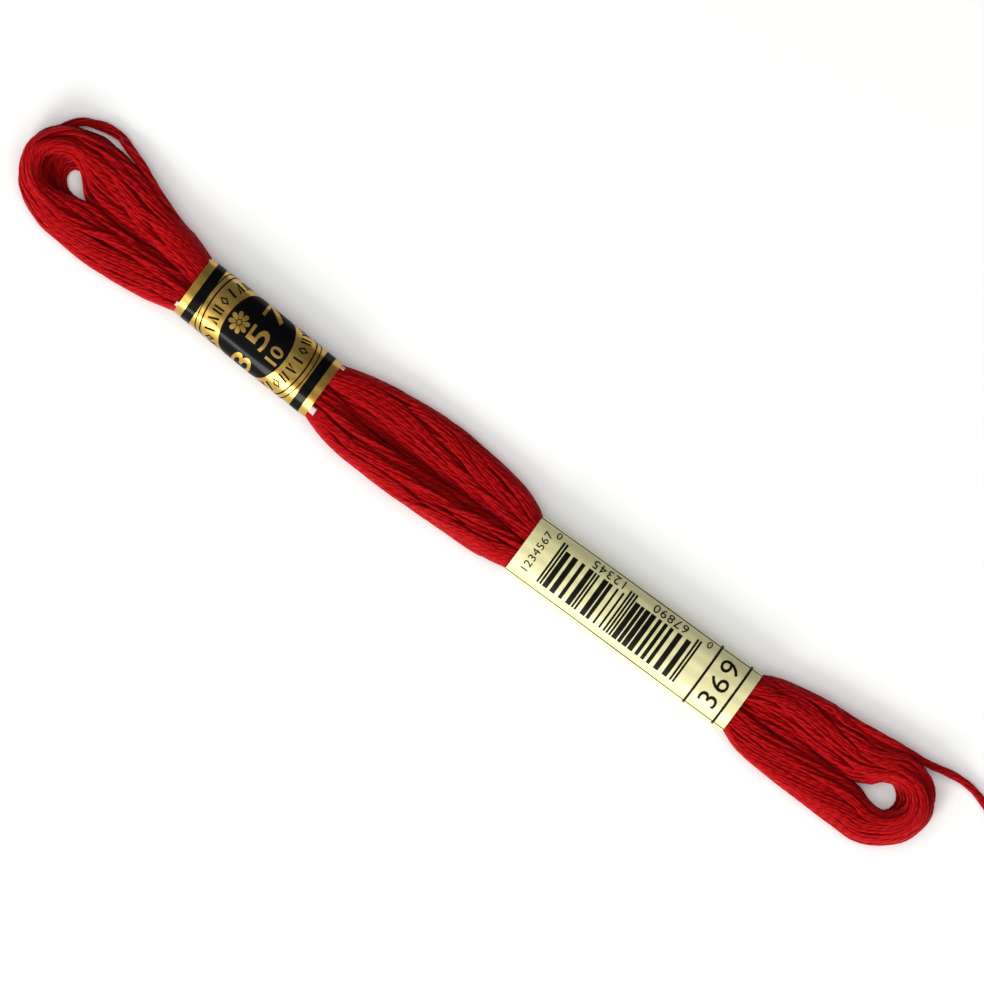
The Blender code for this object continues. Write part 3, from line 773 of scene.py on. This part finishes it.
class Band:
    """A paper sleeve: places on it are (x along, g round the girth from the top, + towards +Y)."""

    def __init__(self, x0, x1, v0, v1, half0, half1, seed):
        self.x0, self.x1, self.v0, self.v1, self.h0, self.h1 = x0, x1, v0, v1, half0, half1
        self.seed = seed
        t = np.linspace(-np.pi, np.pi, 4001)
        y, z = self.oval(t, (half0 + half1) / 2)
        g = np.concatenate([[0], np.cumsum(np.hypot(np.diff(y), np.diff(z)))])
        self.girth = g[-1]
        self.g_of, self.t_of = g - g[-1] / 2, t
        up = abs(t) < np.pi / 2
        self.y_up, self.g_up = y[up], self.g_of[up]

    def oval(self, t, half):
        """t = 0 at the top, + towards +Y."""
        s, c = np.sin(t), np.cos(t)
        middle, reach = BAND_TOP / 2 - 0.1, BAND_TOP / 2 + 0.1
        y = np.sign(s) * np.abs(s) ** (2 / BAND_POWER) * half
        z = middle + np.sign(c) * np.abs(c) ** (2 / BAND_POWER) * reach
        # a soft flat where it lies
        low = 0.55
        z = np.where(z < low, low * np.exp((z - low) / low) * 0.999, z)
        return y, z

    def g_at(self, v):
        """Where on the girth the upper side is v millimetres across from the sleeve's middle, as seen from above."""
        return float(np.interp(v, self.y_up, self.g_up))

    def at(self, x, g, lift=0.0):
        x, g, lift = np.broadcast_arrays(np.asarray(x, float), np.asarray(g, float), np.asarray(lift, float))
        share = (x - self.x0) / (self.x1 - self.x0)
        half = self.h0 + (self.h1 - self.h0) * share
        mid = self.v0 + (self.v1 - self.v0) * share
        t = np.interp(g, self.g_of, self.t_of)
        eps = 0.004
        y, z = self.oval(t, half)
        ya, za = self.oval(t - eps, half)
        yb, zb = self.oval(t + eps, half)
        ny, nz = -(zb - za), (yb - ya)
        size = np.hypot(ny, nz)
        ny, nz = ny / size, nz / size
        # slight unevenness of paper over thread
        wave = (np.sin(g * 2.1 + self.seed + 0.13 * x) * np.sin(0.31 * x + self.seed)
                + 0.7 * np.sin(g * 3.3 - 0.21 * x + 2 * self.seed)) * 0.022
        wave = wave * np.clip((z - 0.6) / 1.5, 0, 1)
        y = y + ny * (lift + wave)
        z = z + nz * (lift + wave)
        return np.stack([(x + SHIFT_X) * MM, (mid + y + SHIFT_Y) * MM, np.maximum(z, 0.0) * MM], -1)


GOLD_BAND = Band(-51.3, -26.6, -1.00, -2.20, 4.87, 4.87, 1.0)
CREAM_BAND = Band(10.5, 50.4, -2.86, -2.86, 4.87, 5.12, 4.0)


def sleeve(name, band, x_lines, material_of, materials):
    """The band's paper as one closed thin strip, its ends lapped and glued underneath."""
    lap = 3.0
    total = band.girth + lap
    n_g = 150
    s = np.linspace(0, total, n_g + 1)
    g = s - band.girth / 2
    under = 0.16 * (1 - np.clip((s - lap) / 1.5, 0, 1))  # the first end goes under the last
    under = np.where(s < lap, 0.16, under)
    g = np.where(g > band.girth / 2, g - band.girth, g)
    xs = np.array(sorted(x_lines))
    outer = band.at(xs[None, :], g[:, None], -under[:, None])
    inner = band.at(xs[None, :], g[:, None], -under[:, None] - PAPER)
    # the underside's layers keep clear of the table and each other
    bottom = (np.abs(g) > band.girth / 2 - 6.0)[:, None]
    outer[..., 2] = np.where(bottom, np.maximum(outer[..., 2], under[:, None] * MM), outer[..., 2])
    inner[..., 2] = np.where(bottom, np.maximum(inner[..., 2], (under[:, None] + PAPER * 0.95) * MM), inner[..., 2])
    rows, cols = len(s), len(xs)
    pts = np.concatenate([outer.reshape(-1, 3), inner.reshape(-1, 3)])
    off = rows * cols
    faces, index = [], []
    for i in range(rows - 1):
        for j in range(cols - 1):
            a, b, c, d = i * cols + j, i * cols + j + 1, (i + 1) * cols + j + 1, (i + 1) * cols + j
            faces.append((a, b, c, d))
            index.append(material_of((xs[j] + xs[j + 1]) / 2))
            faces.append((off + d, off + c, off + b, off + a))
            index.append(len(materials) - 1)
    for i in range(rows - 1):
        for j in (0, cols - 1):
            a, d = i * cols + j, (i + 1) * cols + j
            faces.append((a, d, off + d, off + a) if j == 0 else (d, a, off + a, off + d))
            index.append(len(materials) - 1)
    for j in range(cols - 1):
        for i in (0, rows - 1):
            a, b = i * cols + j, i * cols + j + 1
            faces.append((b, a, off + a, off + b) if i == 0 else (a, b, off + b, off + a))
            index.append(len(materials) - 1)
    obj = new_mesh(name, pts, faces, None, smooth=True)
    for m in materials:
        obj.data.materials.append(m)
    obj.data.polygons.foreach_set("material_index", np.array(index, np.int32))
    obj.data.set_sharp_from_angle(angle=math.radians(40))
    return obj


GB = GOLD_BAND
gold_stripes = [(GB.x0 + 1.25, GB.x0 + 2.85), (GB.x1 - 2.85, GB.x1 - 1.25)]
gold_lines = set(np.round(np.linspace(GB.x0, GB.x1, 34), 3))
for a, b in gold_stripes:
    gold_lines = {x for x in gold_lines if min(abs(x - a), abs(x - b)) > 0.2}
    gold_lines |= {a, b}
gold_obj = sleeve("band_gold_paper", GB, gold_lines,
                  lambda x: 1 if any(a < x < b for a, b in gold_stripes) else 0, [GOLD, BLACK, WHITE])
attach(gold_obj, "root")
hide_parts("band_gold")

CB = CREAM_BAND
cream_obj = sleeve("band_cream_paper", CB, set(np.round(np.linspace(CB.x0, CB.x1, 54), 3)),
                   lambda x: 0, [CREAM, WHITE])
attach(cream_obj, "root")
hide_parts("band_cream")


# ---- printing: thin closed shapes laid on the paper ---------------------------------------------
def printed(name, band, shapes, material, lift=0.022, thick=0.014, cell=0.30):
    """shapes is a bmesh of flat faces with x = along and y = round the girth. It is cut fine, bent on to the band and given a thickness."""
    bm = shapes
    lo = min(v.co.y for v in bm.verts)
    hi = max(v.co.y for v in bm.verts)
    y = math.floor(lo / cell) * cell + 0.013
    while y < hi:
        bmesh.ops.bisect_plane(bm, geom=bm.verts[:] + bm.edges[:] + bm.faces[:], dist=1e-6,
                               plane_co=(0, y, 0), plane_no=(0, 1, 0))
        y += cell
    x = min(v.co.x for v in bm.verts) + 0.811
    far = max(v.co.x for v in bm.verts)
    while x < far:
        bmesh.ops.bisect_plane(bm, geom=bm.verts[:] + bm.edges[:] + bm.faces[:], dist=1e-6,
                               plane_co=(x, 0, 0), plane_no=(1, 0, 0))
        x += 0.811
    bmesh.ops.triangulate(bm, faces=bm.faces)
    bm.verts.ensure_lookup_table()
    flat = np.array([v.co[:2] for v in bm.verts])
    faces = [tuple(v.index for v in f.verts) for f in bm.faces]
    if bm.faces and sum(f.normal.z for f in bm.faces) < 0:
        faces = [f[::-1] for f in faces]
    edges = {}
    for f in faces:
        for a, b in zip(f, f[1:] + f[:1]):
            edges[(a, b)] = edges.get((a, b), 0) + 1
    rim = [(a, b) for (a, b) in edges if (b, a) not in edges]
    top = band.at(flat[:, 0], flat[:, 1], lift + thick)
    low = band.at(flat[:, 0], flat[:, 1], lift - 0.016)
    n = len(flat)
    # x along and y round the girth make a left-handed pair on the outside
    out = [f[::-1] for f in faces] if False else list(faces)
    all_faces = out + [tuple(n + i for i in f[::-1]) for f in out]
    all_faces += [(b, a, n + a, n + b) for a, b in rim]
    obj = new_mesh(name, np.concatenate([top, low]), all_faces, material)
    obj.data.set_sharp_from_angle(angle=math.radians(40))
    bm.free()
    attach(obj, "root")
    return obj


def add_poly(bm, points):
    bm.faces.new([bm.verts.new((x, y, 0.0)) for x, y in points])


def add_rect(bm, x0, x1, y0, y1):
    add_poly(bm, [(x0, y0), (x1, y0), (x1, y1), (x0, y1)])


def add_ring(bm, cx, cy, ax, ay, width, count=96, part=(0.0, 1.0)):
    """An oval ring of even width."""
    first, last = part
    steps = max(4, int(round(count * (last - first))))
    rims = []
    for i in range(steps + 1):
        t = 2 * math.pi * (first + (last - first) * i / steps)
        c, s = math.cos(t), math.sin(t)
        rims.append((bm.verts.new((cx + (ax + width / 2) * c, cy + (ay + width / 2) * s, 0)),
                     bm.verts.new((cx + (ax - width / 2) * c, cy + (ay - width / 2) * s, 0))))
    for (a, b), (c, d) in zip(rims, rims[1:]):
        bm.faces.new((a, c, d, b))


def add_oval(bm, cx, cy, ax, ay, count=72):
    add_poly(bm, [(cx + ax * math.cos(2 * math.pi * i / count), cy + ay * math.sin(2 * math.pi * i / count))
                  for i in range(count)])


def add_text(bm, text, height, centre, reading, squeeze=1.0, space=1.0, bold=0.0):
    """Plain digits. reading is the direction in which they read, as (along, round)."""
    curve = bpy.data.curves.new("digits", "FONT")
    curve.body = text
    curve.size = height / 0.70
    curve.align_x = "CENTER"
    curve.align_y = "CENTER"
    curve.space_character = space
    curve.resolution_u = 3
    curve.offset = bold
    obj = bpy.data.objects.new("digits", curve)
    scene.collection.objects.link(obj)
    bpy.context.view_layer.update()
    mesh = bpy.data.meshes.new_from_object(obj.evaluated_get(bpy.context.evaluated_depsgraph_get()))
    rx, ry = reading
    ux, uy = -ry, rx  # up of the text is to the left of its reading direction
    co = np.array([v.co[:2] for v in mesh.vertices])
    co -= (co.max(0) + co.min(0)) / 2
    co[:, 0] *= squeeze
    verts = [bm.verts.new((centre[0] + x * rx + y * ux, centre[1] + x * ry + y * uy, 0)) for x, y in co]
    for p in mesh.polygons:
        try:
            bm.faces.new([verts[i] for i in p.vertices])
        except ValueError:
            pass
    bpy.data.objects.remove(obj, do_unlink=True)
    bpy.data.meshes.remove(mesh)
    bpy.data.curves.remove(curve)


# the gold band: fine oval rings, a ring of plain marks in place of words, and a dark
# medallion with a plain flower and plain numbers
mid_x = (GB.x0 + GB.x1) / 2 - 0.15
bm = bmesh.new()
add_ring(bm, mid_x, 0.6, 9.35, 12.6, 0.17, 160)
add_ring(bm, mid_x, 0.6, 8.55, 11.6, 0.24, 160)
printed("gold_print_rings", GB, bm, BLACK)
bm = bmesh.new()
add_oval(bm, mid_x, 0.0, 5.35, 7.2)
printed("gold_print_medallion", GB, bm, BLACK)
bm = bmesh.new()
for i in range(36):
    t = 2 * math.pi * (i + 0.5) / 36
    cx, cy = mid_x + 6.95 * math.cos(t), 0.3 + 9.3 * math.sin(t)
    ox, oy = math.cos(t), 0.8 * math.sin(t)
    ox, oy = ox / math.hypot(ox, oy), oy / math.hypot(ox, oy)
    tall, wide = 0.85, 0.17

    def mark(along, across):
        return (cx + along * ox - across * oy, cy + along * oy + across * ox)

    if i % 4 == 0:  # a bar
        add_poly(bm, [mark(-tall, -wide), mark(tall, -wide), mark(tall, wide), mark(-tall, wide)])
    elif i % 4 == 1:  # an open diamond
        add_poly(bm, [mark(0, -0.55), mark(tall, 0), mark(tall - 0.35, 0), mark(0, -0.28)])
        add_poly(bm, [mark(tall, 0), mark(0, 0.55), mark(0, 0.28), mark(tall - 0.35, 0)])
        add_poly(bm, [mark(0, 0.55), mark(-tall, 0), mark(-tall + 0.35, 0), mark(0, 0.28)])
        add_poly(bm, [mark(-tall, 0), mark(0, -0.55), mark(0, -0.28), mark(-tall + 0.35, 0)])
    elif i % 4 == 2:  # two bars
        for shift in (-0.30, 0.30):
            add_poly(bm, [mark(-tall, shift - 0.14), mark(tall, shift - 0.14), mark(tall, shift + 0.14), mark(-tall, shift + 0.14)])
    else:  # a steep chevron
        add_poly(bm, [mark(-tall, -0.55), mark(tall, -0.14), mark(tall, 0.14), mark(-tall, -0.22)])
        add_poly(bm, [mark(tall, -0.14), mark(-tall, 0.55), mark(-tall, 0.22), mark(tall, -0.0)])
printed("gold_print_marks", GB, bm, BLACK)
bm = bmesh.new()
flower_x = mid_x - 3.35
for i in range(8):
    t = 2 * math.pi * (i + 0.5) / 8
    c, s = math.cos(t), math.sin(t)
    petal = []
    for k in range(14):
        q = 2 * math.pi * k / 14
        out_p, across_p = 1.05 + 0.62 * math.cos(q), 0.36 * math.sin(q) * (1 + 0.25 * math.cos(q))
        petal.append((flower_x + out_p * c - across_p * s, out_p * s + across_p * c))
    add_poly(bm, petal)
add_oval(bm, flower_x, 0.0, 0.34, 0.34, 20)
for digit, at_g in (("3", -4.80), ("5", 0.05), ("7", 4.90)):
    add_text(bm, digit, 3.25, (mid_x + 0.27, at_g), (0, 1), 1.62, bold=0.045)
add_text(bm, "10", 2.0, (mid_x + 3.75, -0.5), (0, 1), 1.12, bold=0.06)
printed("gold_print_medallion_marks", GB, bm, GOLD, lift=0.046)

# the cream band: a bar pattern made by rule, plain counting digits, two cross lines, and dark lines along both long
# sides that are painted shade of the paper's rounded edges
bm = bmesh.new()
unit = 25.05 / 95
bars = np.random.default_rng(7)
x, number = CB.x0 + 4.75, 0
limit = x + 25.05
top_g, low_g, guard_g = CB.g_at(2.70), CB.g_at(-3.55), CB.g_at(3.62)
while x < limit - 1e-6:
    ends = number < 2 or x > limit - 4.2 * unit
    centre_pair = abs(x - (limit - 12.5)) < 0.9
    dark = 1 if ends or centre_pair else int(bars.integers(1, 4))
    light = 1 if ends or centre_pair else int(bars.integers(1, 4))
    add_rect(bm, x - 0.035, min(x + dark * unit, limit) + 0.035, low_g, guard_g if (ends or centre_pair) else top_g)
    x += (dark + light) * unit
    number += 1
printed("cream_print_bars", CB, bm, INK)
bm = bmesh.new()
row_g = CB.g_at(3.72)
add_text(bm, "12345", 1.55, (CB.x0 + 12.9, row_g), (-1, 0), 1.0, 1.15)
add_text(bm, "67890", 1.55, (CB.x0 + 24.1, row_g), (-1, 0), 1.0, 1.15)
add_text(bm, "0", 1.30, (CB.x0 + 3.7, CB.g_at(3.95)), (-1, 0))
add_text(bm, "0", 1.30, (CB.x0 + 31.0, CB.g_at(3.95)), (-1, 0))
add_text(bm, "1234567", 1.25, (CB.x0 + 2.25, 0.15), (0, 1), 1.08, 1.10)
add_text(bm, "369", 3.05, (CB.x0 + 35.4, 0.25), (0, 1), 1.10, 1.15)
printed("cream_print_digits", CB, bm, INK)
bm = bmesh.new()
for at_x in (43.2, 48.5):
    add_rect(bm, at_x - 0.19, at_x + 0.19, -7.0, 7.0)
# dark lines just inside both long outlines: painted shade where the paper rounds away, drawn as ink
for share in (-0.94, 0.94):
    at_g = CB.g_at(share * (CB.h0 + CB.h1) / 2)
    add_rect(bm, CB.x0 + 0.02, CB.x1 - 0.02, at_g - 0.12, at_g + 0.12)
printed("cream_print_lines_and_edge_shade", CB, bm, INK)


# ---- white paper slips that peek out at both ends of the gold band ---------------------------------
def slip(name, band, x0, x1, g0, g1, droop):
    rows, cols = 7, 9
    pts_top, pts_low = [], []
    for i in range(rows):
        for j in range(cols):
            x = x0 + (x1 - x0) * j / (cols - 1)
            g = g0 + (g1 - g0) * i / (rows - 1)
            outside = max(0.0, band.x0 - x, x - band.x1)
            lift = -PAPER - 0.02 + droop * outside
            q = band.at(np.clip(x, band.x0, band.x1), g, lift)
            r = band.at(np.clip(x, band.x0, band.x1), g, lift - 0.10)
            shift = (x - np.clip(x, band.x0, band.x1)) * MM
            pts_top.append(q + np.array([shift, 0, 0]))
            pts_low.append(r + np.array([shift, 0, 0]))
    n = rows * cols
    faces = []
    for i in range(rows - 1):
        for j in range(cols - 1):
            a, b, c, d = i * cols + j, i * cols + j + 1, (i + 1) * cols + j + 1, (i + 1) * cols + j
            faces += [(a, b, c, d), (n + d, n + c, n + b, n + a)]
    ring = [j for j in range(cols)] + [i * cols + cols - 1 for i in range(1, rows)]
    ring += [(rows - 1) * cols + j for j in range(cols - 2, -1, -1)] + [i * cols for i in range(rows - 2, 0, -1)]
    for a, b in zip(ring, ring[1:] + ring[:1]):
        faces.append((b, a, n + a, n + b))
    obj = new_mesh(name, np.array(pts_top + pts_low), faces, WHITE, smooth=False)
    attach(obj, "root")
    return obj


slip("paper_slip_left", GB, GB.x0 - 0.42, GB.x0 + 1.5, GB.g_at(-4.10), GB.g_at(-3.35), 0.1)
slip("paper_slip_right", GB, GB.x1 - 1.5, GB.x1 + 0.95, GB.g_at(-3.95), GB.g_at(-2.85), 0.1)
slip("paper_slip_far_left", GB, GB.x0 - 0.25, GB.x0 + 1.5, GB.g_at(4.45), GB.g_at(4.70), 0.05)
slip("paper_slip_far_right", GB, GB.x1 - 1.5, GB.x1 + 0.70, GB.g_at(4.30), GB.g_at(4.70), 0.05)

# ---- floor and light ---------------------------------------------------------------------------------
floor_bm = bmesh.new()
bmesh.ops.create_grid(floor_bm, x_segments=2, y_segments=2, size=1.5)
floor_mesh = bpy.data.meshes.new("floor")
floor_bm.to_mesh(floor_mesh)
floor_bm.free()
floor_mat = Nodes("pale_floor")
floor_noise = floor_mat.noise(floor_mat.node("ShaderNodeTexCoord").outputs["Object"], 3.0, 2.0)
floor_mat.link(floor_mat.ramp(floor_noise, [(0.3, (0.562, 0.562, 0.557)), (0.7, (0.580, 0.580, 0.575))]),
               floor_mat.shader.inputs["Base Color"])
floor_mat.shader.inputs["Roughness"].default_value = 0.85
floor_mat.shader.inputs["Specular IOR Level"].default_value = 0.1
floor_mesh.materials.append(floor_mat.mat)
floor = bpy.data.objects.new("floor", floor_mesh)
scene.collection.objects.link(floor)
floor.location.z = -0.00005


def lamp(name, where, size, power, colour=(1, 1, 1)):
    data = bpy.data.lights.new(name, "AREA")
    data.shape = "DISK"
    data.size = size
    data.energy = power
    data.color = colour
    obj = bpy.data.objects.new(name, data)
    scene.collection.objects.link(obj)
    obj.location = where
    aim = -obj.location
    obj.rotation_euler = aim.to_track_quat("-Z", "Y").to_euler()
    return obj


lamp("key", (0.0, -0.75, 0.585), 0.38, 6.2, (1.0, 0.99, 0.97))
# A wide light straight above, for the table alone: it keeps the shadow narrow and pale.
above = bpy.data.lights.new("above_table", "SUN")
above.energy = 2.65
above.angle = math.radians(72)
above.color = (1.0, 1.0, 0.99)
above_table = bpy.data.objects.new("above_table", above)
scene.collection.objects.link(above_table)
above_table.location = (0, 0, 1.0)
table_only = bpy.data.collections.new("table_only")
table_only.objects.link(floor)
above_table.light_linking.receiver_collection = table_only
# A light tent round it: brighter on the lamp's side, darker where the camera looks in.
world = bpy.data.worlds.new("studio")
world.use_nodes = True
w_nodes, w_links = world.node_tree.nodes, world.node_tree.links
direction = w_nodes.new("ShaderNodeSeparateXYZ")
w_links.new(w_nodes.new("ShaderNodeTexCoord").outputs["Generated"], direction.inputs[0])
across_light = w_nodes.new("ShaderNodeMapRange")
across_light.inputs["From Min"].default_value, across_light.inputs["From Max"].default_value = -1.0, 1.0
w_links.new(direction.outputs["Y"], across_light.inputs["Value"])
tent = w_nodes.new("ShaderNodeValToRGB")
while len(tent.color_ramp.elements) < 5:
    tent.color_ramp.elements.new(0.5)
for element, (at, grey) in zip(tent.color_ramp.elements, ((0.0, 0.98), (0.25, 0.82), (0.5, 0.31), (0.75, 0.14), (1.0, 0.17))):
    element.position = at
    element.color = (0.985 * grey, 0.99 * grey, grey, 1.0)
w_links.new(across_light.outputs[0], tent.inputs["Fac"])
w_links.new(tent.outputs["Color"], w_nodes["Background"].inputs["Color"])
w_nodes["Background"].inputs["Strength"].default_value = 1.36
scene.world = world
